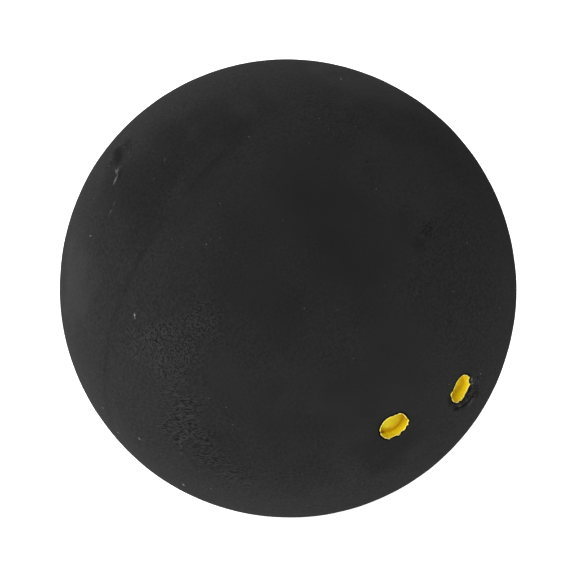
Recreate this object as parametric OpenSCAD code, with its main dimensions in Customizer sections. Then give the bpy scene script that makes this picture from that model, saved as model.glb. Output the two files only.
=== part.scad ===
// Squash ball: two moulded rubber half shells bonded edge to edge, with two painted dots.
// The origin is the centre of the ball. The half shells are moulded along Y, and the dots face -Y.

/* [Ball] */
// Outside diameter of the ball
ball_d = 40; // [35:0.5:60]
// Thickness of the rubber wall
wall_t = 4.5; // [3:0.1:8]

/* [Seam] */
// Thickness of the bonded layer between the two half shells
bond_t = 0.08; // [0.04:0.01:0.2]
// Chamfer on the outer edge of each half shell, which leaves the fine groove round the ball
edge_chamfer = 0.04; // [0.02:0.01:0.2]
// Radius of the bead that the bonded layer leaves inside the ball
bead_r = 0.35; // [0.2:0.05:0.8]

/* [Dots] */
// Straight distance between the centres of the two dots, on the ball's surface
dot_pitch = 7.37; // [6:0.01:12]
// Diameter of each dot's recess
recess_d = 2.6; // [2:0.1:4]
// Depth of each recess below the surface, at its centre
recess_depth = 1.35; // [0.8:0.05:2]
// Thickness of the paint on the wall of a recess
paint_wall_t = 0.12; // [0.05:0.01:0.3]
// Thickness of the paint on the floor of a recess
paint_floor_t = 0.2; // [0.1:0.05:0.5]
// How far the rim of the paint lies below the surface
paint_drop = 0.05; // [0.02:0.01:0.2]

/* [Smoothness] */
// Straight sides that stand in for a full circle on screen
circle_sides = 160; // [48:8:240]

/* [Hidden] */
$fn = circle_sides;
ball_r = ball_d / 2;
cavity_r = ball_r - wall_t;
joint_y = bond_t / 2;
recess_r = recess_d / 2;
recess_floor = ball_r - recess_depth;
dot_angle = asin(dot_pitch / ball_d);
// How far a cut runs past the solid that it cuts
overrun = 1;
rubber_colour = "#262626";
bond_colour = "#1a1a1a";
paint_colour = "#e0c818";

// Turns a shape made along +Z to the ball's axis, so that +Z faces the front, which is -Y
module to_front() {
    rotate([90, 0, 0])
        children();
}

// Turns a shape made along +Z to the back of the ball, which is +Y
module to_back() {
    rotate([-90, 0, 0])
        children();
}

// Places a shape made along +Z on the radius through one dot: side is -1 for left and 1 for right
module at_dot(side) {
    to_front()
        rotate([0, side * dot_angle, 0])
            children();
}

// One hollow half of the ball, made along +Z, with its joint face and chamfered outer edge
module half_shell() {
    difference() {
        sphere(r = ball_r);
        sphere(r = cavity_r);
        translate([0, 0, joint_y - ball_r - overrun])
            cylinder(r = ball_r + overrun, h = ball_r + overrun);
        rotate_extrude()
            polygon([
                [ball_r - edge_chamfer, joint_y - overrun],
                [ball_r + overrun, joint_y - overrun],
                [ball_r + overrun, joint_y + edge_chamfer + overrun],
                [ball_r - edge_chamfer, joint_y]
            ]);
    }
}

// The round hole moulded for one dot, made along +Z
module dot_recess() {
    translate([0, 0, recess_floor])
        cylinder(r = recess_r, h = recess_depth + overrun);
}

// The lining of paint in one recess, made along +Z
module paint_cup() {
    difference() {
        intersection() {
            sphere(r = ball_r - paint_drop);
            dot_recess();
        }
        translate([0, 0, recess_floor + paint_floor_t])
            cylinder(r = recess_r - paint_wall_t, h = recess_depth + overrun);
    }
}

module half_shell_front() {
    color(rubber_colour)
        difference() {
            to_front()
                half_shell();
            at_dot(-1)
                dot_recess();
            at_dot(1)
                dot_recess();
        }
}

module half_shell_back() {
    color(rubber_colour)
        to_back()
            half_shell();
}

module seam_adhesive() {
    color(bond_colour)
        to_front()
            union() {
                difference() {
                    cylinder(r = ball_r - edge_chamfer, h = bond_t, center = true);
                    cylinder(r = cavity_r - bead_r / 2, h = bond_t + overrun, center = true);
                }
                intersection() {
                    sphere(r = cavity_r);
                    rotate_extrude()
                        translate([cavity_r, 0])
                            circle(r = bead_r);
                }
            }
}

module dot_left() {
    color(paint_colour)
        at_dot(-1)
            paint_cup();
}

module dot_right() {
    color(paint_colour)
        at_dot(1)
            paint_cup();
}

half_shell_front();
half_shell_back();
seam_adhesive();
dot_left();
dot_right();
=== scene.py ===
# Squash ball: two rubber half shells bonded in the XZ plane, with two painted dots that face -Y.
# Lengths are in metres, in the CAD frame, whose origin is the centre of the ball.
import math
import bpy
import numpy as np
from mathutils import Matrix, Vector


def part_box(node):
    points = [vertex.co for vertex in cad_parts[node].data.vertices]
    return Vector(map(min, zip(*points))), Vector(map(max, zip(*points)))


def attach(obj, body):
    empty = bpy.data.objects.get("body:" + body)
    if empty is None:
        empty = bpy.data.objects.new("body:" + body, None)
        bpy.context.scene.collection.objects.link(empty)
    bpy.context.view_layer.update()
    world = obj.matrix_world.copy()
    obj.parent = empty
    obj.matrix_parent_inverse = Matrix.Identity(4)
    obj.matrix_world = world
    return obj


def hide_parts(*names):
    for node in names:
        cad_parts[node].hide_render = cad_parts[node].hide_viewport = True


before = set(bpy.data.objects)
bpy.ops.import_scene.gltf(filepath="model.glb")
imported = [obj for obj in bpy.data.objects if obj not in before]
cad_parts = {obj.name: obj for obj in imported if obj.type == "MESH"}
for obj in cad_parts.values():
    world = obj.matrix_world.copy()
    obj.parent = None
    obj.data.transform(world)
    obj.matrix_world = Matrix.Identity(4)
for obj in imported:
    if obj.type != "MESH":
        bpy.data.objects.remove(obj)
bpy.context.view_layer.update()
scene = bpy.context.scene
mm = 0.001
print("loaded the frame:", ", ".join(sorted(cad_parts)))


# Shared helpers

def unit(vectors):
    # each vector divided by its own length
    vectors = np.asarray(vectors, float)
    return vectors / np.linalg.norm(vectors, axis=-1, keepdims=True)


def smoothStep(low, high, values):
    # 0 below low, 1 above high, and 3t^2 - 2t^3 between them
    share = np.clip((values - low) / (high - low), 0, 1)
    return share * share * (3 - 2 * share)


def bell(distance, width):
    # 1 at no distance, falling off on a normal curve of that width
    return np.exp(-(distance / width) ** 2)


def waveNoise(points, height, wavelength, seed, count=20, spread=0.25):
    # a sum of plane sine waves with random directions and phases, whose lengths lie within that spread
    # of the wavelength, scaled so that height is its typical height
    random = np.random.default_rng(seed)
    waveNumber = 2 * math.pi / (wavelength * random.uniform(1 - spread, 1 + spread, (count, 1)))
    waves = unit(random.normal(size=(count, 3))) * waveNumber
    phases = random.uniform(0, 2 * math.pi, count)
    return height * (np.sin(points @ waves.T + phases).sum(axis=-1) * math.sqrt(2 / count))


def ringNoise(angles, height, counts, seed):
    # noise of that typical height that closes on itself round a circle: a sine wave for each whole
    # count of waves, with a random phase
    random = np.random.default_rng(seed)
    phases = random.uniform(0, 2 * math.pi, len(counts))
    waves = np.sin(angles[..., None] * np.array(counts) + phases)
    return height * (waves.sum(axis=-1) / math.sqrt(len(counts) / 2))


def fullTurn(columns):
    # that many equal steps round a circle, in radians
    return 2 * math.pi * np.arange(columns) / columns


def rowSteps(stretches):
    # places along a profile from 0: each stretch (length, step) is cut into equal steps no longer than step
    places = [0.0]
    for length, step in stretches:
        count = max(1, math.ceil(length / step))
        places.extend(places[-1] + length * np.arange(1, count + 1) / count)
    return np.array(places)


def fillMesh(name, points, quads, triangles):
    # a closed mesh, whose faces are turned over if the volume that they enclose comes out negative
    halves = points[np.concatenate([quads[:, :3], quads[:, [0, 2, 3]], triangles])]
    if np.einsum("ij,ij->", halves[:, 0], np.cross(halves[:, 1], halves[:, 2])) < 0:
        quads, triangles = quads[:, ::-1], triangles[:, ::-1]
    corners = np.concatenate([quads.ravel(), triangles.ravel()])
    starts = np.concatenate([4 * np.arange(len(quads)), 4 * len(quads) + 3 * np.arange(len(triangles))])
    mesh = bpy.data.meshes.new(name)
    mesh.vertices.add(len(points))
    mesh.vertices.foreach_set("co", points.astype(np.float32).ravel())
    mesh.loops.add(len(corners))
    mesh.loops.foreach_set("vertex_index", corners.astype(np.int32))
    mesh.polygons.add(len(starts))
    mesh.polygons.foreach_set("loop_start", starts.astype(np.int32))
    mesh.update(calc_edges=True)
    return mesh


def turnedMesh(name, grid):
    # grid[row, column] holds points: rows run from pole to pole and columns go round, the last meeting
    # the first. The first and last rows are poles, each one point, closed by a fan of triangles.
    rows, columns = grid.shape[:2]
    first, last = grid[0].mean(axis=0), grid[-1].mean(axis=0)
    points = np.concatenate([first[None], grid[1:-1].reshape(-1, 3), last[None]])
    ring = np.arange(columns)
    following = np.roll(ring, -1)
    row = 1 + columns * np.arange(rows - 3)[:, None]
    nextRow = row + columns
    quads = np.stack([row + ring, row + following, nextRow + following, nextRow + ring], axis=-1)
    endRow = 1 + columns * (rows - 3)
    topFan = np.stack([np.zeros_like(ring), 1 + following, 1 + ring], axis=-1)
    lowFan = np.stack([np.full_like(ring, len(points) - 1), endRow + ring, endRow + following], axis=-1)
    return fillMesh(name, points, quads.reshape(-1, 4), np.concatenate([topFan, lowFan]))


def hoopMesh(name, grid):
    # grid[row, column] holds points: rows go round a section and columns round the ring, and both close
    rows, columns = grid.shape[:2]
    row, column = np.mgrid[0:rows, 0:columns]
    nextRow, nextColumn = (row + 1) % rows, (column + 1) % columns
    quads = np.stack([row * columns + column, row * columns + nextColumn,
                      nextRow * columns + nextColumn, nextRow * columns + column], axis=-1)
    return fillMesh(name, grid.reshape(-1, 3), quads.reshape(-1, 4), np.empty((0, 3), int))


def storeShares(mesh, name, shares):
    # one value for each corner of a mesh, under a name that its material reads
    attribute = mesh.attributes.new(name, "FLOAT", "POINT")
    attribute.data.foreach_set("value", shares.astype(np.float32))


def addObject(name, data):
    # an object in the scene, which holds a mesh, a lamp or a camera
    added = bpy.data.objects.new(name, data)
    scene.collection.objects.link(added)
    return added


def turnTo(along, outward):
    # the turn that takes X to along and Z to outward
    return Matrix(np.array([along, np.cross(outward, along), outward]).T.tolist())


def placeObject(placed, along, outward, point):
    # turns an object and puts it at a point
    matrix = turnTo(along, outward).to_4x4()
    matrix.translation = point
    placed.matrix_world = matrix


def addPiece(name, mesh, material, slot, *nodes, sharpAngle=50):
    # a piece of the ball: it rides on the one body and stands for CAD nodes
    piece = addObject(name, mesh)
    mesh.materials.clear()
    mesh.materials.append(material)
    mesh.shade_smooth()
    mesh.set_sharp_from_angle(angle=math.radians(sharpAngle))
    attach(piece, "root")
    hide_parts(*nodes)
    print("made", name, "with", len(mesh.polygons), "faces")


def toLinear(hexColour):
    # an sRGB hex colour as linear red, green, blue and a full alpha
    shares = np.array([int(hexColour[place:place + 2], 16) for place in (1, 3, 5)]) / 255
    linear = np.where(shares <= 0.04045, shares / 12.92, ((shares + 0.055) / 1.055) ** 2.4)
    return (*linear.tolist(), 1.0)


def setInputs(tree, node, inputs):
    # an input that is a socket is linked, and any other is a value
    for key, value in inputs.items():
        if isinstance(value, bpy.types.NodeSocket):
            tree.links.new(value, node.inputs[key])
        else:
            node.inputs[key].default_value = value


def addNode(tree, kind, inputs=None, out=0, **settings):
    # a node with its settings and inputs, given as the one of its outputs that is used
    node = tree.nodes.new("ShaderNode" + kind)
    for name, value in settings.items():
        setattr(node, name, value)
    setInputs(tree, node, inputs or {})
    return node.outputs[out]


def newMaterial(name):
    # a material, its node tree and its shader
    material = bpy.data.materials.new(name)
    material.use_nodes = True
    return material, material.node_tree, material.node_tree.nodes["Principled BSDF"]


# Sizes read from the CAD nodes

def meshPoints(mesh):
    # the corners of a mesh, one row each
    flat = np.empty(len(mesh.vertices) * 3, np.float32)
    mesh.vertices.foreach_get("co", flat)
    return flat.reshape(-1, 3).astype(float)


def measureCup(name):
    # the cup's own axes, with the first from the ball's centre through its middle, and its sizes: the
    # radius and floor of the recess that it lines, and the radius and floor of its inside
    low, high = (np.array(corner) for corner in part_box(name))
    axis = unit((low + high) / 2)
    level = unit(np.cross([0, 0, 1], axis))
    points = meshPoints(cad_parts[name].data)
    along = points @ axis
    across = np.linalg.norm(points - along[:, None] * axis, axis=1)
    tolerance = 0.02 * mm
    inside = (across < across.max() - tolerance) & (along > along.min() + tolerance)
    return {"axis": axis, "level": level, "upright": np.cross(axis, level),
            "radius": across.max(), "floor": along.min(),
            "insideRadius": across[inside].max(), "insideFloor": along[inside].min()}


shellCorners = meshPoints(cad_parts["half_shell_back"].data)
shellRadii = np.linalg.norm(shellCorners, axis=1)
ball = {
    "radius": float(shellRadii.max()),
    "cavityRadius": float(shellRadii.min()),
    "jointHeight": float(shellCorners[:, 1].min()),
    "columns": 400,
}
cups = {side: measureCup("dot_" + side) for side in ("left", "right")}
for side, cup in cups.items():
    print(side, "dot: recess", round((ball["radius"] - cup["floor"]) / mm, 3), "mm deep, radius",
          round(cup["radius"] / mm, 3), "mm; paint", round((cup["insideFloor"] - cup["floor"]) / mm, 3),
          "mm thick on the floor,", round((cup["radius"] - cup["insideRadius"]) / mm, 3), "mm on the wall")


# The photograph's viewpoint, in degrees, metres and pixels of its 576 x 576 frame

viewpoint = {
    "azimuth": -36.7,
    "elevation": 42.2,
    "roll": 1.7,
    "distance": 0.6,
    "frameSide": 576,
    "ballCentre": (288.0, 288.4),
    "ballPixels": 228.9,
    "sensor": 36,
    "clip": (0.01, 50),
}


def viewAxes():
    # right, up and back of the camera: back points from the ball to the camera, and roll leans the
    # frame clockwise
    turn, rise, lean = (math.radians(viewpoint[name]) for name in ("azimuth", "elevation", "roll"))
    back = np.array([math.sin(turn) * math.cos(rise), -math.cos(turn) * math.cos(rise), math.sin(rise)])
    level = unit(np.cross([0, 0, 1], back))
    upright = np.cross(back, level)
    right = math.cos(lean) * level - math.sin(lean) * upright
    up = math.sin(lean) * level + math.cos(lean) * upright
    return np.array([right, up, back])


cameraAxes = viewAxes()
eye = cameraAxes[2] * viewpoint["distance"]
focalPixels = viewpoint["ballPixels"] / math.tan(math.asin(ball["radius"] / viewpoint["distance"]))


def seenPlace(points):
    # where on the plain sphere the photograph shows points: the line of sight through each meets the
    # sphere at the nearer root of its quadratic
    sight = unit(points - eye)
    closest = -(sight @ eye)
    back = np.sqrt(np.maximum(closest ** 2 - eye @ eye + ball["radius"] ** 2, 0))
    return unit(eye + (closest - back)[..., None] * sight) * ball["radius"]


def placeAt(pixel):
    # the point of the plain sphere that the photograph shows at a pixel
    across = (pixel[0] - viewpoint["ballCentre"][0]) / focalPixels
    rise = (viewpoint["ballCentre"][1] - pixel[1]) / focalPixels
    return seenPlace(eye + np.array([across, rise, -1.0]) @ cameraAxes)


def addCamera():
    data = bpy.data.cameras.new("camera")
    data.sensor_width = viewpoint["sensor"]
    data.lens = focalPixels / viewpoint["frameSide"] * viewpoint["sensor"]
    half = viewpoint["frameSide"] / 2
    data.shift_x = (half - viewpoint["ballCentre"][0]) / viewpoint["frameSide"]
    data.shift_y = (viewpoint["ballCentre"][1] - half) / viewpoint["frameSide"]
    data.clip_start, data.clip_end = viewpoint["clip"]
    camera = addObject("camera", data)
    placeObject(camera, cameraAxes[0], cameraAxes[2], eye)
    scene.camera = camera


addCamera()
print("placed the camera")


# Places on the skin

def roundCup(cup, points):
    # distance of points from a cup's axis, and their angle round it
    side, rise = points @ cup["level"], points @ cup["upright"]
    return np.hypot(side, rise), np.arctan2(rise, side)


def aroundAxis(cup, turn, across, along):
    # points at those distances across and along a cup's axis, turned round it
    outward = np.cos(turn)[:, None] * cup["level"] + np.sin(turn)[:, None] * cup["upright"]
    return across[..., None] * outward + along[..., None] * cup["axis"]


def strokeDistance(points, pixels):
    # distance of points from a line drawn on the ball through pixels of the photograph: the least of
    # the distances from its straight stretches, each taken at the nearest point of the stretch
    stops = [placeAt(pixel) for pixel in pixels]
    nearest = np.full(points.shape[:-1], np.inf)
    for start, end in zip(stops, stops[1:]):
        along = end - start
        share = np.clip((points - start) @ along / (along @ along), 0, 1)
        nearest = np.minimum(nearest, np.linalg.norm(points - start - share[..., None] * along, axis=-1))
    return nearest


patchEdge = {
    "ragged": 0.12,           # height of its noise in the patch's own radii, as are the next three
    "waves": 0.6,
    "solid": 0.25,            # where the patch starts to fade
    "gone": 1.05,
    "seed": 61,
}


def patchShares(points, patches):
    # the strongest of some patches at each point: the distance from a patch's middle, in its own radii
    # and with noise that makes its edge ragged, takes its strength down to nothing
    strongest = np.zeros(points.shape[:-1])
    for pixel, radius, strength in patches.values():
        away = np.linalg.norm(points - placeAt(pixel), axis=-1) / radius
        away += waveNoise(points, patchEdge["ragged"], patchEdge["waves"] * radius, patchEdge["seed"])
        faded = smoothStep(patchEdge["solid"], patchEdge["gone"], away)
        strongest = np.maximum(strongest, strength * (1 - faded))
    return strongest


# Outlines of the dots, traced round the edge of the paint in the photograph's pixels

outlines = {
    "left": {
        "top corner": (399.5, 413.0),
        "right shoulder": (405.8, 416.2),
        "outer dent": (407.4, 418.8),
        "outer tooth": (409.3, 420.9),
        "outer gap": (407.8, 422.7),
        "second tooth": (408.6, 424.5),
        "tooth heel": (407.0, 425.2),
        "second gap": (405.9, 426.5),
        "third tooth": (405.4, 429.1),
        "third gap": (401.8, 431.2),
        "side": (400.1, 433.7),
        "low tooth": (398.4, 435.7),
        "low gap": (396.4, 435.2),
        "low side": (393.4, 436.8),
        "drip gap": (391.4, 437.7),
        "drip": (389.1, 439.4),
        "drip heel": (386.8, 438.3),
        "small drip": (385.5, 438.7),
        "low corner": (383.1, 436.9),
        "left corner": (380.5, 434.4),
        "notch": (380.6, 432.5),
        "near corner": (379.6, 430.8),
        "near side": (381.3, 425.6),
        "near curve": (385.2, 420.2),
        "near straight": (390.3, 416.9),
        "bump foot": (393.7, 416.1),
        "bump": (395.5, 414.7),
        "bump heel": (397.0, 414.9),
    },
    "right": {
        "top": (466.4, 374.9),
        "top corner": (468.2, 375.6),
        "upper notch": (468.6, 376.9),
        "pale point": (470.0, 376.8),
        "point heel": (468.9, 379.4),
        "notch side": (468.5, 381.9),
        "thread root": (469.4, 384.0),
        "thread": (470.7, 384.2),
        "thread heel": (469.2, 385.8),
        "side": (468.4, 387.6),
        "side middle": (466.5, 391.6),
        "side wave": (464.8, 394.6),
        "low side": (463.0, 398.4),
        "side tooth": (461.5, 400.6),
        "low gap": (459.6, 401.0),
        "low tooth": (458.3, 402.6),
        "end": (456.4, 403.0),
        "end gap": (455.1, 402.3),
        "low corner": (452.7, 401.3),
        "low heel": (451.9, 398.0),
        "left corner": (450.6, 394.6),
        "near foot": (453.4, 390.6),
        "near side": (455.0, 386.2),
        "near middle": (457.2, 381.4),
        "near shoulder": (460.4, 377.3),
        "near top": (463.7, 374.9),
    },
}


def outlineRadius(side, angles):
    # distance of the paint's edge from the cup's axis, as the photograph shows it on the skin, at
    # angles round the axis: a straight run between the traced points
    traced = np.array([placeAt(pixel) for pixel in outlines[side].values()])
    distances, turns = roundCup(cups[side], traced)
    return np.interp(angles, turns, distances, period=2 * math.pi)


def pastOutline(side, points):
    # how far outside the traced outline the photograph shows points, measured on the skin
    distance, angle = roundCup(cups[side], seenPlace(points))
    return distance - outlineRadius(side, angle)


# Outer skin of the half shells

mouth = {
    "fillet": 0.06 * mm,              # rounding of the rubber where a recess opens
    "wobble": (0.004 * mm, (5, 8, 13), 17),            # height, waves to the turn, and seed
    "flash": 0.07 * mm,               # how far inside the paint's edge the near rim of the rubber lies
    "flashMost": 0.18 * mm,           # and the most by which that takes the rim from round
    "flashArcs": (-10, -5, 0, 5, 10),                  # degrees over which the paint's edge is averaged
    "flashBlend": (-0.6, 0.1),        # cosine of the angle from the near side, for none and all of it
    "burr": 0.008 * mm,               # raised edge that the mould's pin leaves round it
    "burrWidth": 0.06 * mm,
    "burrDrift": (0.6, (4, 9, 17, 31), 29),            # share, waves to the turn, and seed
    "moat": 0.008 * mm,               # shallow ring outside the burr, where the buffing misses
    "moatAway": 0.40 * mm,
    "moatWidth": 0.20 * mm,
    "rawShadeWidth": 0.13 * mm,            # width of the raw black rubber and its painted shade outside the paint's edge
    "rawShadeFade": (0.6, 1.8),            # shares of that width for all and none of it
}
skin = {
    "ovalLong": (-0.04, -0.73, -0.68),     # direction along which the ball is a little long
    "ovalShort": (0.90, -0.33, 0.30),      # and the one along which it is a little short
    "ovalHeight": 0.06 * mm,
    # height, wavelength and seed, as for the crumple
    "swells": [(0.010 * mm, 9 * mm, 3), (0.0035 * mm, 3 * mm, 5), (0.0012 * mm, 1.2 * mm, 7)],
    "groove": (0.006 * mm, 0.09 * mm),     # depth and width of the fine groove along the bonded joint
    "trough": (0.012 * mm, 0.40 * mm),     # and of the shallow trough that buffing leaves along it
    "seamDrift": (0.35, (2, 3, 7, 11, 19), 23),        # share, waves to the turn, and seed
    # where the buffing has nearly hidden the joint: place in the photograph, radius and strength
    "wornPatches": {"high": ((345, 94), 10 * mm, 0.85), "left": ((262, 127), 4 * mm, 0.5)},
    "creaseDepth": 0.22 * mm,              # fold in the rubber outside the right dot
    "creaseWidth": 0.12 * mm,
    "creasePixels": [(454.6, 409.6), (460.0, 407.8), (464.4, 405.4), (468.4, 402.0), (471.6, 398.2),
                     (474.6, 394.0), (477.8, 389.4)],
    "crumple": (0.05 * mm, 0.45 * mm, 31),             # of the rubber between that fold and the dot
    "crumplePixels": [(466.0, 401.0), (474.5, 386.0)],
    "crumpleReach": 0.7 * mm,
}


def nearSide(cup, angles):
    # 1 on the side of a recess that is nearest the camera, and 0 on its far side
    toEye = unit(eye - cup["axis"] * ball["radius"])
    nearAngle = math.atan2(toEye @ cup["upright"], toEye @ cup["level"])
    return smoothStep(*mouth["flashBlend"], np.cos(angles - nearAngle))


def mouthRadius(side, angles):
    # radius of a recess round its axis: the CAD radius with a slight wobble, drawn on the near side to
    # the mean of the traced outline over a short arc, less the flash
    cup = cups[side]
    arcs = np.radians(mouth["flashArcs"])
    edge = sum(outlineRadius(side, angles + arc) for arc in arcs) / len(arcs) - mouth["flash"]
    change = np.clip(edge - cup["radius"], -mouth["flashMost"], mouth["flashMost"])
    return cup["radius"] + nearSide(cup, angles) * change + ringNoise(angles, *mouth["wobble"])


def skinHeight(directions):
    # height of the outer skin over the plain sphere: an oval of second order, swells of three
    # wavelengths, a groove and a trough along the seam whose depth drifts round it and falls away where
    # it is worn, round each recess a burr and a moat whose sections are bell curves, and outside the
    # right dot a fold along a drawn line with crumpled rubber inside it
    points = directions * ball["radius"]
    longWay = directions @ unit(skin["ovalLong"])
    shortWay = directions @ unit(skin["ovalShort"])
    height = skin["ovalHeight"] * (longWay ** 2 - shortWay ** 2)
    for swell in skin["swells"]:
        height += waveNoise(points, *swell)
    aroundSeam = np.arctan2(directions[..., 2], directions[..., 0])
    drift = 1 + ringNoise(aroundSeam, *skin["seamDrift"])
    drift *= 1 - patchShares(points, skin["wornPatches"])
    for depth, width in (skin["groove"], skin["trough"]):
        height -= depth * drift * bell(points[..., 1], width)
    for side, cup in cups.items():
        distance, angle = roundCup(cup, points)
        distance = np.where(points @ cup["axis"] > 0, distance, ball["radius"])
        past = distance - mouthRadius(side, angle) - mouth["fillet"]
        raggedness = 1 + ringNoise(angle, *mouth["burrDrift"])
        height += mouth["burr"] * raggedness * bell(past - mouth["burrWidth"], mouth["burrWidth"])
        height -= mouth["moat"] * bell(past - mouth["moatAway"], mouth["moatWidth"])
    height -= skin["creaseDepth"] * bell(strokeDistance(points, skin["creasePixels"]), skin["creaseWidth"])
    crumpled = bell(strokeDistance(points, skin["crumplePixels"]), skin["crumpleReach"])
    return height + crumpled * waveNoise(points, *skin["crumple"])


# Materials

rubber = {
    # the dark and the light of each pattern
    "shades": {
        "broad": ("#232323", "#2f2f2f"),
        "mottle": ("#232323", "#2f2f2f"),
        # pits and ripples are darkest in their hollows: painted shade as well as dirt
        "pits": ("#080808", "#404040"),
        "ripples": ("#080808", "#3c3c3c"),
    },
    # what lies over them, in this order
    "layers": {
        "light": "#3c3c3c",
        "dark": "#141414",
        "seam": "#0c0c0c",
        # dark marks, most of them painted shade in the fold and beside the right dot
        "darkMarksAndShade": "#0c0c0c",
        "dustAndHighlights": "#b4b4b4",                # and the light marks, among them painted highlights
        "rawAndShade": "#040404",                 # inside a recess and at its mouth: raw unbuffed rubber, with painted shade round the paint's edge
    },
    # size of a lump, detail, the values of the noise that give 0 and the most, and that most: a share, or
    # for the grain a height
    "patterns": {
        "broad": (5 * mm, 1, 0.0, 1.0, 1.0),
        "mottle": (0.25 * mm, 1, 0.3, 0.7, 1.0),
        "strayPits": (6 * mm, 2, 0.42, 0.62, 0.10),
        "pits": (0.16 * mm, 1, 0.35, 0.65, 1.0),
        "flakes": (0.18 * mm, 1, 0.35, 0.6, 1.0),
        "seamDrift": (5 * mm, 3, 0.3, 0.6, 1.0),
        "grain": (0.24 * mm, 2, 0.0, 1.0, 0.008 * mm),      # the real grain is too fine to show
    },
    "ripplePatterns": {"ripples": (1, 1, 0.35, 0.65, 1.0)},     # the same, but sized in ripples
    "rippleSize": 0.11 * mm,              # half the way from ripple to ripple
    "rippleStretch": 3.6,                 # length of a ripple over its width
    "depths": {"pits": 0.03 * mm, "ripples": 0.03 * mm},
    "mottleShare": 0.8,                   # how strong the mottle is where the skin isn't calm
    "seamShare": 0.22,                    # and the dark band along the seam where it isn't worn
    "seamWidth": 0.5 * mm,
    "markFade": (1.1, 0.5),               # shares of a mark's size where it starts and where it is full
    "dustFade": (1.2, 0.5),               # the same for a speck of dust
    "dustPower": 3,
    "dustCell": 1.2 * mm,                 # mean distance between specks
    "dustRadius": 0.06 * mm,
    "dustShare": 0.25,
    "shader": {
        "Roughness": 0.9,
        "Diffuse Roughness": 1.0,         # buffed rubber throws light back much as felt does
        "Specular IOR Level": 0.0,        # and has no gloss of its own
        "Sheen Weight": 0.018,
    },
    # patches of the skin: the middle of each in the photograph, its radius and its strength
    "patches": {
        "calm": {
            "middle": ((300, 240), 14 * mm, 0.85),
            "low right": ((395, 385), 11 * mm, 0.85),
            "low": ((270, 400), 8 * mm, 0.65),
            "high": ((240, 120), 7 * mm, 0.4),
        },
        # lighter patches: the ones at the left edge and at the top, by the rim, are painted rim light
        "light": {
            "left": ((158, 365), 7 * mm, 0.08),
            "high right": ((410, 170), 7 * mm, 0.2),
            "left edge": ((74, 280), 5 * mm, 0.3),
            "top": ((370, 85), 6 * mm, 0.3),
        },
        # darker patches: the one at the high left is painted shade
        "dark": {
            "high left": ((140, 180), 8 * mm, 0.42),
            "smudge": ((119, 155), 2.2 * mm, 0.6),
            "high": ((215, 125), 6 * mm, 0.35),
            "under high": ((205, 170), 5 * mm, 0.25),
            "middle": ((288, 216), 11 * mm, 0.15),
            "low left": ((232, 456), 5 * mm, 0.2),
            "bottom": ((300, 472), 5 * mm, 0.2),
            "low": ((287, 438), 5 * mm, 0.2),
            "low right": ((385, 450), 4.5 * mm, 0.3),
            "blot": ((428, 229), 0.8 * mm, 0.4),
            "small blot": ((419, 244), 0.9 * mm, 0.25),
        },
        "pitted": {
            "left": ((156, 338), 2.6 * mm, 0.6),
            "middle": ((179, 346), 3.0 * mm, 0.55),
            "right": ((198, 324), 3.0 * mm, 0.45),
            "far left": ((138, 346), 2.4 * mm, 0.45),
            "low": ((166, 366), 2.8 * mm, 0.55),
            "smudge": ((119, 156), 2.6 * mm, 0.6),
            "high left": ((150, 178), 6 * mm, 0.12),
            "at the fold": ((472, 390), 2.0 * mm, 0.7),
            "blot": ((428, 229), 1.3 * mm, 0.5),
        },
        "rippled": {
            "top": ((182, 406), 3.0 * mm, 0.6),
            "middle": ((186, 432), 3.2 * mm, 0.7),
            "low": ((206, 456), 2.8 * mm, 0.6),
            "bottom": ((234, 474), 2.4 * mm, 0.45),
            "left": ((150, 446), 2.2 * mm, 0.25),
        },
    },
}
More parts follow.
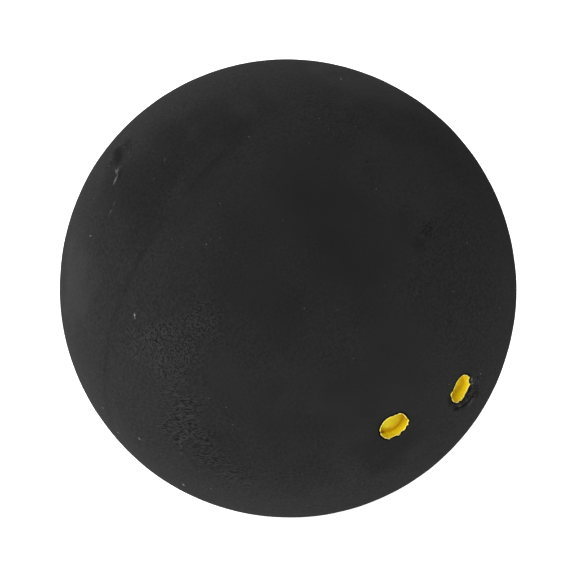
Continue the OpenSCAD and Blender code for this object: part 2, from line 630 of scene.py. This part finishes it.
# light and dark marks on the skin, among them painted highlights and painted shade: the two ends of each in
# the photograph, its width and its strength
# the two glints, the fold brow, the fold strand and the fold speck are painted highlights
lightMarks = {
    "high scuff": ((118.6, 167.2), (117.4, 172.8), 0.24 * mm, 0.22),
    "high scuff side": ((115.4, 169.4), (117.8, 175.4), 0.22 * mm, 0.22),
    "high scuff tail": ((116.8, 177.0), (114.0, 183.6), 0.32 * mm, 0.30),
    "high scuff speck": ((121.0, 166.6), (121.6, 166.6), 0.16 * mm, 0.16),
    "low scratch": ((115.3, 201.4), (113.4, 206.4), 0.12 * mm, 0.10),
    "low scratch blob": ((111.4, 210.6), (110.2, 212.0), 0.20 * mm, 0.16),
    "low scratch tail": ((109.8, 213.2), (108.4, 216.4), 0.12 * mm, 0.10),
    "faint blob": ((165.2, 157.4), (165.0, 161.4), 0.26 * mm, 0.06),
    "left blob": ((90.3, 178.8), (90.3, 179.8), 0.30 * mm, 0.08),
    "upright fleck": ((134.2, 313.5), (134.9, 318.5), 0.17 * mm, 0.62),
    "left fleck": ((89.9, 235.8), (90.9, 235.9), 0.14 * mm, 0.40),
    "left speck": ((102.3, 227.7), (102.3, 228.2), 0.11 * mm, 0.16),
    "top fleck": ((248.0, 136.8), (249.4, 137.0), 0.11 * mm, 0.30),
    "pit glint": ((153.8, 178.6), (154.4, 179.0), 0.11 * mm, 0.14),
    "inner glint": ((219.6, 203.6), (220.0, 204.0), 0.11 * mm, 0.14),
    "middle speck": ((211.2, 239.3), (211.2, 239.9), 0.11 * mm, 0.14),
    "lower speck": ((195.4, 290.2), (195.6, 290.8), 0.11 * mm, 0.10),
    "centre speck": ((268.5, 263.8), (269.1, 263.8), 0.11 * mm, 0.08),
    "upper fleck": ((341.0, 78.4), (341.2, 79.6), 0.12 * mm, 0.55),
    "far speck": ((460.0, 153.0), (460.4, 153.2), 0.10 * mm, 0.32),
    "edge speck": ((484.0, 187.0), (484.3, 187.6), 0.10 * mm, 0.30),
    "right speck": ((504.0, 259.0), (504.0, 259.8), 0.10 * mm, 0.30),
    "low right speck": ((500.0, 308.0), (500.2, 308.8), 0.10 * mm, 0.26),
    "plain speck": ((414.0, 260.0), (414.4, 260.0), 0.09 * mm, 0.22),
    "plain fleck": ((446.0, 283.0), (446.3, 283.4), 0.09 * mm, 0.24),
    "side fleck": ((480.0, 313.0), (480.0, 313.6), 0.09 * mm, 0.24),
    "corner tick": ((480.4, 373.6), (480.8, 374.0), 0.12 * mm, 0.42),
    "mouth tick": ((449.2, 384.4), (449.5, 384.6), 0.08 * mm, 0.40),
    "notch tick": ((471.8, 378.0), (472.2, 380.8), 0.18 * mm, 0.40),
    "torn thread": ((470.8, 384.0), (473.6, 382.4), 0.16 * mm, 0.50),
    "torn strand": ((474.0, 382.0), (476.6, 378.8), 0.14 * mm, 0.18),
    "fold strand": ((466.4, 395.4), (468.6, 392.8), 0.20 * mm, 0.10),
    "fold speck": ((458.6, 406.4), (460.8, 406.0), 0.24 * mm, 0.14),
    "fold brow": ((467.8, 405.4), (472.4, 399.8), 0.40 * mm, 0.10),
    "short scratch": ((468.0, 243.0), (478.0, 252.0), 0.10 * mm, 0.05),
    "upright scratch": ((374.0, 466.0), (372.0, 474.0), 0.08 * mm, 0.10),
    "ripple speck": ((186.6, 430.6), (186.8, 431.6), 0.11 * mm, 0.14),
    "ripple fleck": ((232.6, 424.6), (233.2, 424.8), 0.11 * mm, 0.20),
    "patch speck": ((208.8, 398.2), (209.0, 398.8), 0.11 * mm, 0.16),
    "low curl": ((178.6, 452.4), (182.6, 454.6), 0.10 * mm, 0.16),
    "bottom fleck": ((182.8, 484.4), (183.8, 485.6), 0.22 * mm, 0.60),
    "bottom speck": ((210.8, 488.8), (211.2, 489.2), 0.14 * mm, 0.40),
    "rim speck": ((117.4, 432.8), (117.8, 433.2), 0.16 * mm, 0.60),
    "rim fleck": ((102.0, 407.8), (102.4, 408.6), 0.14 * mm, 0.60),
    "mottled fleck": ((138.6, 438.6), (139.8, 439.4), 0.15 * mm, 0.50),
}
# the fold marks, the wall shades, the notch gap and the end shade are painted shade in the fold and in the
# recess beside the right dot
darkMarksAndShade = {
    "scuff shade": ((121.0, 170.0), (119.0, 178.0), 0.5 * mm, 0.35),
    "pit cluster": ((155.6, 339.6), (157.2, 341.8), 0.24 * mm, 0.55),
    "dark dash": ((183.0, 373.6), (187.6, 374.4), 0.18 * mm, 0.50),
    "pit": ((155.8, 179.4), (156.4, 180.0), 0.20 * mm, 0.40),
    "inner pit": ((218.2, 204.4), (218.8, 205.0), 0.22 * mm, 0.40),
    "high pit": ((318.8, 158.8), (319.4, 159.4), 0.20 * mm, 0.40),
    "far pit": ((366.8, 161.8), (367.4, 162.4), 0.20 * mm, 0.36),
    "top pit": ((246.4, 138.2), (247.4, 138.8), 0.18 * mm, 0.36),
    "streak": ((400.0, 148.0), (432.0, 128.0), 0.22 * mm, 0.14),
    "high smudge": ((117.5, 149.0), (119.0, 161.0), 1.1 * mm, 0.50),
    "fold core": ((463.2, 406.0), (468.6, 401.4), 0.54 * mm, 1.0),
    "fold middle": ((468.2, 401.6), (472.8, 395.6), 0.62 * mm, 1.0),
    "fold start": ((455.0, 409.4), (461.6, 406.8), 0.48 * mm, 0.60),
    "fold end": ((473.2, 394.8), (477.8, 388.0), 0.52 * mm, 0.80),
    "fold echo": ((453.4, 405.8), (457.0, 407.4), 0.28 * mm, 0.55),
    "fold blot": ((476.6, 396.0), (478.0, 393.4), 0.60 * mm, 0.60),
    "fold tick": ((474.4, 380.2), (480.4, 376.2), 0.26 * mm, 0.40),
    "wall shade": ((466.8, 394.6), (469.0, 390.0), 0.80 * mm, 0.75),
    "wall shade end": ((460.8, 403.6), (463.8, 399.0), 0.36 * mm, 0.75),
    "notch gap": ((470.4, 377.8), (470.6, 382.6), 0.40 * mm, 0.90),
    "end shade": ((448.8, 399.0), (451.4, 404.4), 0.60 * mm, 0.50),
}


def noisePatterns(tree, place, patterns):
    # each pattern by its name: noise with lumps of its size, stretched so that low gives 0 and high
    # gives most
    made = {}
    for name, (size, detail, low, high, most) in patterns.items():
        noise = addNode(tree, "TexNoise", {"Vector": place, "Scale": 1 / size, "Detail": detail})
        made[name] = addNode(tree, "MapRange", {
            "Value": noise, "From Min": low, "From Max": high, "To Max": most,
        })
    return made


def overlaid(tree, colour, layers):
    # a colour with layers over it in turn, each given by its share and its own colour
    for share, layer in layers:
        colour = addNode(tree, "Mix", {"Factor": share, "A": colour, "B": layer}, "Result",
                         data_type="RGBA")
    return colour


def markShare(tree, place, marks):
    # the strongest of the marks at each place: a mark is a ball drawn out from end to end and faded
    # over its outer half, so a node turns, centres and scales the place to it
    outer, inner = rubber["markFade"]
    strongest = 0.0
    for start, end, width, strength in marks.values():
        first, last = placeAt(start), placeAt(end)
        local = addNode(tree, "Mapping", {
            "Vector": place,
            "Location": ((first + last) / 2).tolist(),
            "Rotation": turnTo(unit(last - first), unit(first + last)).to_euler(),
            "Scale": (np.linalg.norm(last - first) / 2 + width / 2, width / 2, width),
        }, vector_type="TEXTURE")
        reach = addNode(tree, "VectorMath", {0: local}, "Value", operation="LENGTH")
        fade = addNode(tree, "MapRange", {
            "Value": reach, "From Min": outer, "From Max": inner, "To Max": strength,
        })
        strongest = addNode(tree, "Math", {0: strongest, 1: fade}, operation="MAXIMUM")
    return strongest


def rippledPlace(tree, place):
    # the place counted in ripples: short across them, which is upright in the photograph, and long
    # along them
    outward = unit(placeAt(rubber["patches"]["rippled"]["top"][0]))
    rise = unit(cameraAxes[1] - (cameraAxes[1] @ outward) * outward)
    short = rubber["rippleSize"]
    long = short * rubber["rippleStretch"]
    return addNode(tree, "Mapping", {
        "Vector": place, "Rotation": turnTo(rise, outward).to_euler(), "Scale": (short, long, long),
    }, vector_type="TEXTURE")


def seamShare(tree, place, drift, worn):
    # full along the seam and nothing past its width on either side, fading in and out round the ball,
    # and nothing where the seam is worn away
    height = addNode(tree, "SeparateXYZ", {0: place}, "Y")
    away = addNode(tree, "Math", {0: height}, operation="ABSOLUTE")
    share = addNode(tree, "MapRange", {
        "Value": away, "From Min": rubber["seamWidth"], "From Max": 0.0,
    }, interpolation_type="SMOOTHSTEP")
    kept = addNode(tree, "MapRange", {"Value": worn, "To Min": rubber["seamShare"], "To Max": 0.0})
    for other in (drift, kept):
        share = addNode(tree, "Math", {0: share, 1: other}, operation="MULTIPLY")
    return share


def dustShare(tree, place):
    # specks of dust: small balls round scattered points, where the skin cuts them, most of them faint
    # because their strength is a power of an even random number
    cells = addNode(tree, "TexVoronoi", {"Vector": place, "Scale": 1 / rubber["dustCell"]}).node.outputs
    outer, inner = (share * rubber["dustRadius"] / rubber["dustCell"] for share in rubber["dustFade"])
    speck = addNode(tree, "MapRange", {
        "Value": cells["Distance"], "From Min": outer, "From Max": inner, "To Max": rubber["dustShare"],
    })
    chance = addNode(tree, "SeparateColor", {0: cells["Color"]}, "Red")
    strength = addNode(tree, "Math", {0: chance, 1: rubber["dustPower"]}, operation="POWER")
    return addNode(tree, "Math", {0: speck, 1: strength}, operation="MULTIPLY")


def buffedRubber():
    # black butyl rubber, moulded and then buffed all over: a dead matt black with a faint grey bloom and
    # a few patches of painted rim light and painted shade, fine grain, a patch of pits and one of ripples
    # where the buffing wheel dragged, darkened in their hollows as painted shade and dirt, a darker band
    # along the seam, raw black with painted shade round the mouths of the recesses, painted shade along
    # the fold by the right dot, and dust with painted highlights
    material, tree, shader = newMaterial("buffed butyl rubber")
    place = addNode(tree, "TexCoord", out="Object")
    stored = {name: addNode(tree, "Attribute", out="Fac", attribute_name=name)
              for name in (*rubber["patches"], "worn", "rawAndShade")}
    patterns = noisePatterns(tree, place, rubber["patterns"])
    patterns |= noisePatterns(tree, rippledPlace(tree, place), rubber["ripplePatterns"])
    lively = addNode(tree, "MapRange", {
        "Value": stored["calm"], "To Min": rubber["mottleShare"], "To Max": 0.0,
    })
    pitted = addNode(tree, "Math", {0: stored["pitted"], 1: patterns["strayPits"]}, operation="MAXIMUM")

    shades = {name: overlaid(tree, toLinear(dark), [(patterns[name], toLinear(light))])
              for name, (dark, light) in rubber["shades"].items()}
    marked = addNode(tree, "Math", {0: markShare(tree, place, lightMarks), 1: patterns["flakes"]},
                     operation="MULTIPLY")
    shares = {
        **stored,
        "seam": seamShare(tree, place, patterns["seamDrift"], stored["worn"]),
        "darkMarksAndShade": markShare(tree, place, darkMarksAndShade),
        "dustAndHighlights": addNode(tree, "Math", {0: marked, 1: dustShare(tree, place)}, operation="MAXIMUM"),
    }
    colour = overlaid(tree, shades["broad"], [
        (lively, shades["mottle"]),
        (pitted, shades["pits"]),
        (stored["rippled"], shades["ripples"]),
        *((shares[name], toLinear(shade)) for name, shade in rubber["layers"].items()),
    ])

    height = patterns["grain"]
    for name, share in {"pits": pitted, "ripples": stored["rippled"]}.items():
        hollow = addNode(tree, "Math", {0: patterns[name], 1: share}, operation="MULTIPLY")
        height = addNode(tree, "Math", {0: hollow, 1: rubber["depths"][name], 2: height},
                         operation="MULTIPLY_ADD")
    setInputs(tree, shader, {
        **rubber["shader"],
        "Base Color": colour,
        "Normal": addNode(tree, "Bump", {"Height": height, "Distance": 1.0}),
    })
    return material


solution = {
    "shades": ("#191919", "#272727"),
    "worn": "#272727",
    "patterns": {"patches": (1.5 * mm, 2, 0.0, 1.0, 1.0)},        # as on the rubber
    "patchHeight": 0.01 * mm,
    "shader": {"Roughness": 0.8, "Specular IOR Level": 0.04},     # the rest is as on the rubber
}


def curedSolution():
    # the cured rubber solution in the seam, buffed with the shells: a shade blacker and smoother, and
    # grey with buffed rubber where the seam is worn
    material, tree, shader = newMaterial("cured rubber solution")
    place = addNode(tree, "TexCoord", out="Object")
    patches = noisePatterns(tree, place, solution["patterns"])["patches"]
    worn = addNode(tree, "Attribute", out="Fac", attribute_name="worn")
    dark, light = (toLinear(shade) for shade in solution["shades"])
    setInputs(tree, shader, {
        **rubber["shader"],
        **solution["shader"],
        "Base Color": overlaid(tree, dark, [(patches, light), (worn, toLinear(solution["worn"]))]),
        "Normal": addNode(tree, "Bump", {"Height": patches, "Distance": solution["patchHeight"]}),
    })
    return material


enamel = {
    # darker and lighter, which is painted shade and painted light across the dot
    "wall": ("#c6a808", "#fadc18"),
    "floor": ("#ae9a10", "#e6de34"),
    "foot": ("#ac8600", "#c29a00"),       # in the round between floor and wall, a darker ochre as painted shade
    # laid over those, in this order: a pale painted highlight along the edge, and the nick
    "layers": {"lipHighlight": "#f6e470", "nick": "#2a1c06"},
    "patterns": {                         # as on the rubber
        "patches": (0.2 * mm, 2, 0.3, 0.7, 1.0),
        "lumps": (0.15 * mm, 2, 0.0, 1.0, 1.0),
    },
    "patchShare": 0.25,                   # how far patches change where the floor's shades lie
    "lumpHeight": 0.01 * mm,
    "shader": {"Roughness": 0.6, "Specular IOR Level": 0.15},
}


def enamelPaint():
    # yellow enamel dabbed into the recess: satin, darker on one side and brighter on the other as
    # painted shade and painted light, greenish on the floor, a darker ochre in the corner between floor
    # and wall as painted shade, a pale painted highlight along its edge, and chipped through at the nick
    material, tree, shader = newMaterial("yellow enamel")
    place = addNode(tree, "TexCoord", out="Object")
    stored = {name: addNode(tree, "Attribute", out="Fac", attribute_name=name)
              for name in ("thin", "pooled", "foot", "lipHighlight", "nick")}
    patterns = noisePatterns(tree, place, enamel["patterns"])
    pooled = addNode(tree, "Mix", {
        "Factor": enamel["patchShare"], "A": stored["pooled"], "B": patterns["patches"],
    }, "Result")
    shades = {}
    # each shade runs across the dot from its darker colour to its lighter one by the thin share: painted
    # shade and painted light
    for name in ("wall", "floor", "foot"):
        thick, thin = (toLinear(shade) for shade in enamel[name])
        shades[name] = overlaid(tree, thick, [(stored["thin"], thin)])
    setInputs(tree, shader, {
        **enamel["shader"],
        "Base Color": overlaid(tree, shades["wall"], [
            (pooled, shades["floor"]),
            (stored["foot"], shades["foot"]),
            *((stored[name], toLinear(shade)) for name, shade in enamel["layers"].items()),
        ]),
        "Normal": addNode(tree, "Bump", {"Height": patterns["lumps"], "Distance": enamel["lumpHeight"]}),
    })
    return material


rubberMaterial = buffedRubber()
solutionMaterial = curedSolution()
paintMaterial = enamelPaint()
print("made the materials")


# Half shells

shellRows = {
    # stretches of the skin from the pole outwards, finest round the dots, and their steps
    "skin": [(2.0 * mm, 0.16 * mm), (5.2 * mm, 0.065 * mm), (22.9 * mm, 0.28 * mm), (0.8 * mm, 0.1 * mm)],
    "seam": 0.035 * mm,
    "cavity": 2 * mm,
}


def shellProfile():
    # half a section of a half shell, as distance from the axis, height over the joint's plane, and
    # 1 on the outer skin: out along the sphere, in along the joint face, and back up the hollow
    radius, cavity, joint = ball["radius"], ball["cavityRadius"], ball["jointHeight"]
    edge = math.acos(joint / radius)
    fixed = sum(length for length, step in shellRows["skin"])
    arcs = rowSteps([*shellRows["skin"], (radius * edge - fixed, shellRows["seam"])]) / radius
    outer = np.stack([radius * np.sin(arcs), radius * np.cos(arcs), np.ones(len(arcs))], axis=-1)
    inner = math.acos(joint / cavity)
    back = inner - rowSteps([(cavity * inner, shellRows["cavity"])]) / cavity
    hollow = np.stack([cavity * np.sin(back), cavity * np.cos(back), np.zeros(len(back))], axis=-1)
    return np.concatenate([outer, hollow])


def halfShell(name, side):
    # the profile turned round the Y axis: side is -1 for the front and 1 for the back. Skin points
    # move along their own radius by skinHeight.
    profile = shellProfile()
    turn = fullTurn(ball["columns"])
    across, along, isSkin = profile[:, :1], profile[:, 1:2], profile[:, 2]
    grid = np.stack([across * np.cos(turn), side * along + 0 * turn, across * np.sin(turn)], axis=-1)
    onSkin = isSkin > 0
    directions = unit(grid[onSkin])
    grid[onSkin] = directions * (ball["radius"] + skinHeight(directions))[..., None]
    return turnedMesh(name, grid)


recess = {
    "columns": 240,
    "filletRows": 8,
    "overshoot": 1.0 * mm,
}


def wallHeight(side, turn, low):
    # height of a recess's straight wall over low, up to where the fillet starts
    brim = mouthRadius(side, turn) + mouth["fillet"]
    return np.sqrt(ball["radius"] ** 2 - brim ** 2) - mouth["fillet"] - low


def mouthSection(side, turn, reach, low):
    # the rubber that the paint lies on, as distance across and along the cup's axis, and the direction
    # that it faces: reach goes up the wall from low, round the fillet and out over the skin, which is
    # the sphere lifted by skinHeight
    cup, fillet = cups[side], mouth["fillet"]
    radius, wall = mouthRadius(side, turn), wallHeight(side, turn, low)
    bend = np.clip((reach - wall) / fillet, 0, math.pi / 2)
    outside = np.maximum(reach - wall - fillet * math.pi / 2, 0)
    across = radius + fillet * (1 - np.cos(bend)) + outside
    sphere = np.sqrt(ball["radius"] ** 2 - np.maximum(across, radius + fillet) ** 2)
    skinPlace = unit(aroundAxis(cup, turn, np.maximum(across, radius + fillet), sphere))
    along = np.where(outside > 0, sphere, low + np.clip(reach, 0, wall) + fillet * np.sin(bend))
    return across, along + skinHeight(skinPlace) * np.sin(bend), -np.cos(bend), np.sin(bend)


def markSkin(mesh):
    # stores at each corner of a shell's mesh how strong each sort of patch is, and how strong the raw
    # rubber with its painted shade is: 1 inside the traced outline of a dot, falling to 0 over its width
    # outside it
    points = meshPoints(mesh)
    for name, patches in rubber["patches"].items():
        storeShares(mesh, name, patchShares(points, patches))
    storeShares(mesh, "worn", patchShares(points, skin["wornPatches"]))
    rawAndShade = np.zeros(len(points))
    for side, cup in cups.items():
        around = np.linalg.norm(points - cup["axis"] * ball["radius"], axis=-1) < 2 * cup["radius"]
        share = pastOutline(side, points[around]) / mouth["rawShadeWidth"]
        rawAndShade[around] = np.maximum(rawAndShade[around], 1 - smoothStep(*mouth["rawShadeFade"], share))
    storeShares(mesh, "rawAndShade", rawAndShade)
    return mesh


def cutRecesses(mesh):
    # the two round recesses, taken out of the front half shell by a turned cutter: a flat floor, a
    # straight wall and a mouth that flares on the fillet
    piece = addObject("uncut shell", mesh)
    turn = fullTurn(recess["columns"])
    cutters = []
    for side, cup in cups.items():
        bends = np.linspace(0, math.pi / 2, recess["filletRows"])[:, None]
        climb = wallHeight(side, turn, cup["floor"]) + mouth["fillet"] * bends
        flareAcross, flareAlong, _, _ = mouthSection(side, turn, climb, cup["floor"])
        floor, top = cup["floor"] + 0 * turn, ball["radius"] + recess["overshoot"] + 0 * turn
        across = np.concatenate([[0 * turn, flareAcross[0]], flareAcross, [flareAcross[-1], 0 * turn]])
        along = np.concatenate([[floor, floor], flareAlong, [top, top]])
        cutters.append(addObject("cutter", turnedMesh("cutter", aroundAxis(cup, turn, across, along))))
        modifier = piece.modifiers.new("recess", "BOOLEAN")
        modifier.object = cutters[-1]
        modifier.operation = "DIFFERENCE"
        modifier.solver = "EXACT"
    bpy.context.view_layer.update()
    result = bpy.data.meshes.new_from_object(piece.evaluated_get(bpy.context.evaluated_depsgraph_get()))
    for spare in (piece, *cutters):
        bpy.data.objects.remove(spare)
    return result


frontMesh, backMesh = markSkin(cutRecesses(halfShell("front", -1))), markSkin(halfShell("back", 1))
addPiece("front_half_shell", frontMesh, rubberMaterial, "rubber", "half_shell_front")
addPiece("back_half_shell", backMesh, rubberMaterial, "rubber", "half_shell_back")


# Bonded seam

seam = {
    "columns": 720,
    "sunk": 0.002 * mm,           # how far its edge lies under the bottom of the groove
    "crown": 0.008 * mm,          # how far the middle of that edge stands over its sides
    "bead": 0.30 * mm,            # mean radius of the bead inside the ball
    "beadDrift": (0.05 * mm, (3, 8, 21, 55), 41),      # height, waves to the turn, and seed
    "beadRows": 14,
    "edgeRows": 6,
}


def seamRing():
    # a section carried round the Y axis: a flat web between the joint faces, whose outer edge is
    # rounded under the groove, and a bead inside, a circle whose radius drifts round the ring
    turn = fullTurn(seam["columns"])
    directions = np.stack([np.cos(turn), 0 * turn, np.sin(turn)], axis=-1)
    half = ball["jointHeight"]
    edge = ball["radius"] + skinHeight(directions) - seam["sunk"]
    bead = seam["bead"] + ringNoise(turn, *seam["beadDrift"])
    tips = np.linspace(-math.pi / 2, math.pi / 2, seam["edgeRows"])[:, None]
    narrow = np.arcsin(half / bead)
    rounds = narrow + (2 * math.pi - 2 * narrow) * np.linspace(0, 1, seam["beadRows"])[:, None]
    middle = ball["cavityRadius"] - half
    crowned = edge - seam["crown"] * (1 - np.cos(tips))
    across = np.concatenate([crowned, middle + bead * (np.cos(rounds) - 1) + half])
    height = np.concatenate([half * np.sin(tips) + 0 * turn, bead * np.sin(rounds)])
    grid = across[..., None] * directions + height[..., None] * np.array([0, 1, 0])
    mesh = hoopMesh("seam", grid)
    storeShares(mesh, "worn", patchShares(meshPoints(mesh), skin["wornPatches"]))
    return mesh


addPiece("seam_ring", seamRing(), solutionMaterial, "rubber_solution", "seam_adhesive")


# Painted dots

lining = {
    "columns": 360,
    "pool": 0.14 * mm,            # radius of the paint that pooled in the corner of the recess
    "floorRows": 16,
    "poolRows": 8,
    "lipRows": 30,
    "backRows": 5,
    "furthest": 1.6 * mm,         # how far up from the pool the paint's edge is looked for
    "reachSteps": 240,
    "lipThickness": 0.035 * mm,   # of the paint where it has run over the mouth
    "lipHighlightWidth": 0.13 * mm,        # how far from its edge the paint is lit pale, a painted highlight
    "lipHighlightFade": 0.3,               # share of that width with the full paleness
    "rowPower": 1.7,              # rows close up towards the edge by this power
    "edgePower": 8,               # and the paint thins to nothing there by this one
    "sunk": 0.006 * mm,
    # from the end of a dot darkened as painted shade to the end lightened as painted light
    "shadeToLightPixels": {"left": [(405.0, 417.0), (381.0, 433.0)], "right": [(461.0, 387.0), (455.0, 401.0)]},
    "footShare": {"left": 1.0, "right": 0.7},     # how strong the ochre painted shade is in the corner of the recess
    "footStart": 0.88,            # share of the floor's radius where that begins
    "footRim": 0.65,              # how far it has come where the floor meets the pool
    "footBend": -0.5,             # angle in the pool at which it is whole, in radians
    "footClimb": 0.5,             # share of the way up to the paint's edge where it is gone
    "lumps": [(0.008 * mm, 0.55 * mm, 51), (0.003 * mm, 0.22 * mm, 53)],     # height, wavelength, seed
    "nickPixels": {"left": [(381.0, 432.0), (383.4, 432.6)]},
    "nickWidth": 0.07 * mm,
}


def edgeReach(side, turn, low):
    # how far up the rubber the paint goes at each angle round the recess: to the last place on the wall,
    # the fillet or the skin that the camera sees inside the traced outline, or where there is none, to
    # the place that it sees nearest to it
    steps = np.linspace(0, lining["furthest"], lining["reachSteps"])[:, None] + 0 * turn
    across, along, _, _ = mouthSection(side, turn, steps, low)
    past = pastOutline(side, aroundAxis(cups[side], turn, across, along))
    last = len(steps) - 1 - np.argmax(past[::-1] < 0, axis=0)
    last = np.where((past < 0).any(axis=0), last, np.argmin(past, axis=0))
    return steps[last, 0]


def paintLining(side):
    # the cup turned round its axis: a floor, a round of pooled paint, and paint up the wall and over the
    # mouth to the traced edge, where its thickness falls to nothing as the root of 1 less a high power
    # of the share of the way there. The underside goes back along the rubber.
    cup = cups[side]
    turn = fullTurn(lining["columns"])
    floor, pool = cup["insideFloor"], lining["pool"]
    inside = mouthRadius(side, turn) - (cup["radius"] - cup["insideRadius"])
    low = floor + pool
    reach, wall = edgeReach(side, turn, low), wallHeight(side, turn, low)
    shares = np.linspace(0, 1, lining["floorRows"])[:, None]
    corner = np.linspace(-math.pi / 2, 0, lining["poolRows"])[1:, None]
    climb = (1 - (1 - np.linspace(0, 1, lining["lipRows"])) ** lining["rowPower"])[1:, None]
    taper = np.sqrt(1 - climb ** lining["edgePower"])
    across, along, faceAcross, faceAlong = mouthSection(side, turn, reach * climb, low)
    thin = smoothStep(wall - 2 * mouth["fillet"], wall + mouth["fillet"], reach * climb)
    thickness = (cup["radius"] - cup["insideRadius"]) * (1 - thin) + lining["lipThickness"] * thin
    thickness = thickness * taper
    down = np.linspace(1, 0, lining["backRows"])[:, None]
    backAcross, backAlong, backFaceAcross, backFaceAlong = mouthSection(side, turn, reach * down, low)
    rows = [
        (shares * (inside - pool), floor + 0 * shares * turn),
        (inside - pool + pool * np.cos(corner), low + pool * np.sin(corner) + 0 * turn),
        (across + thickness * faceAcross, along + thickness * faceAlong),
        (backAcross - lining["sunk"] * backFaceAcross, backAlong - lining["sunk"] * backFaceAlong),
        (mouthRadius(side, turn) * down, cup["floor"] + 0 * down * turn),
    ]
    grid = aroundAxis(cup, turn, *(np.concatenate(places) for places in zip(*rows)))
    floorEnd = len(shares)
    wallStart = floorEnd + len(corner)
    wallEnd = wallStart + len(climb)
    seen = grid[:wallEnd]
    lumps = sum(waveNoise(seen, *lump) for lump in lining["lumps"])
    lumps *= np.concatenate([np.ones((wallStart, 1)), taper])
    seen += lumps[..., None] * unit(cup["axis"] * (floor + 2 * pool) - seen)
    mesh = turnedMesh(side + " dot", grid)

    stored = {name: np.zeros(grid.shape[:2]) for name in ("thin", "pooled", "foot", "lipHighlight", "nick")}
    stored["pooled"][:floorEnd] = 1
    # lip: a pale painted highlight along the paint's edge
    stored["lipHighlight"][wallStart:wallEnd] = 1 - smoothStep(
        lining["lipHighlightFade"], 1, (1 - climb) * reach / lining["lipHighlightWidth"])
    # the foot is painted shade: an ochre darkening at the edge of the floor, in the pool and low on the
    # wall
    foot, rim = stored["foot"], lining["footRim"]
    foot[:floorEnd] = rim * smoothStep(lining["footStart"], 1, shares)
    foot[floorEnd:wallStart] = rim + (1 - rim) * smoothStep(-math.pi / 2, lining["footBend"], corner)
    foot[wallStart:wallEnd] = 1 - smoothStep(0, lining["footClimb"], climb)
    foot *= lining["footShare"][side]
    skinPlaces = seenPlace(grid)
    # thin is 0 at the darker end and 1 at the lighter end: painted shade and painted light
    shadedEnd, litEnd = (placeAt(pixel) for pixel in lining["shadeToLightPixels"][side])
    fromShaded = np.linalg.norm(skinPlaces - shadedEnd, axis=-1)
    stored["thin"] = np.clip(fromShaded / np.linalg.norm(litEnd - shadedEnd), 0, 1)
    if side in lining["nickPixels"]:
        stored["nick"] = bell(strokeDistance(skinPlaces, lining["nickPixels"][side]), lining["nickWidth"])
    for name, values in stored.items():
        storeShares(mesh, name, np.concatenate([values[0, :1], values[1:-1].ravel(), values[-1, :1]]))
    return mesh


for side in cups:
    addPiece(side + "_dot_paint", paintLining(side), paintMaterial, "yellow_paint", "dot_" + side)


# Floor, lamps and world

stage = {
    "floorSide": 3.0,
    "floorColour": "#f6f6f6",
    "floorRoughness": 0.9,
    "white": "#ffffff",
    # strength for the light on the ball, and for what is seen behind it
    "floorGlow": (0.0, 0.85),
    "worldStrength": (0.05, 1.0),
    "lampSize": 0.5,
    "lampDistance": 0.9,
    # direction in camera terms, right, up and back, and power in watts
    "lamps": {
        "high left": ((-1.0, 0.8, 0.0), 6.2),
        "front": ((0.0, 0.0, 1.0), 4.3),
        "low front": ((0.0, -0.6, 0.8), 3.7),
        "left back": ((-1.0, 0.45, -0.4), 4.8),
        "top back": ((-0.45, 1.0, -0.7), 7.7),
        "left front": ((-1.0, 0.0, 0.8), 2.4),
        "low left": ((-0.7, -0.45, 0.6), 0.8),
    },
}


def backgroundLevel(tree, lighting, behind):
    # behind for what the camera, a reflection or a refraction sees, and lighting for all other light
    seen = addNode(tree, "LightPath", out="Is Camera Ray")
    for ray in ("Is Glossy Ray", "Is Transmission Ray"):
        seen = addNode(tree, "Math", {0: seen, 1: addNode(tree, "LightPath", out=ray)}, operation="MAXIMUM")
    return addNode(tree, "MapRange", {"Value": seen, "To Min": lighting, "To Max": behind})


def addFloor():
    # a white card under the ball
    half = stage["floorSide"] / 2
    low = -ball["radius"]
    corners = [(-half, -half, low), (half, -half, low), (half, half, low), (-half, half, low)]
    mesh = bpy.data.meshes.new("floor")
    mesh.from_pydata(corners, [], [(0, 1, 2, 3)])
    floor = addObject("floor", mesh)
    material, tree, shader = newMaterial("white card")
    setInputs(tree, shader, {
        "Base Color": toLinear(stage["floorColour"]),
        "Roughness": stage["floorRoughness"],
        "Emission Color": toLinear(stage["white"]),
        "Emission Strength": backgroundLevel(tree, *stage["floorGlow"]),
    })
    mesh.materials.append(material)


def addLamp(name, direction, power):
    # a square softbox that faces the ball
    data = bpy.data.lights.new(name, "AREA")
    data.shape = "SQUARE"
    data.size = stage["lampSize"]
    data.energy = power
    facing = unit(np.array(direction) @ cameraAxes)
    level = unit(np.cross([0, 0, 1], facing))
    placeObject(addObject(name, data), level, facing, facing * stage["lampDistance"])


def addWorld():
    # a white room: full white behind the ball, and a little even light on it
    world = bpy.data.worlds.new("world")
    scene.world = world
    world.use_nodes = True
    tree = world.node_tree
    setInputs(tree, tree.nodes["Background"], {
        "Color": toLinear(stage["white"]),
        "Strength": backgroundLevel(tree, *stage["worldStrength"]),
    })


addFloor()
addWorld()
for name, (direction, power) in stage["lamps"].items():
    addLamp(name, direction, power)
scene.view_settings.view_transform = "Standard"
print("set the stage")
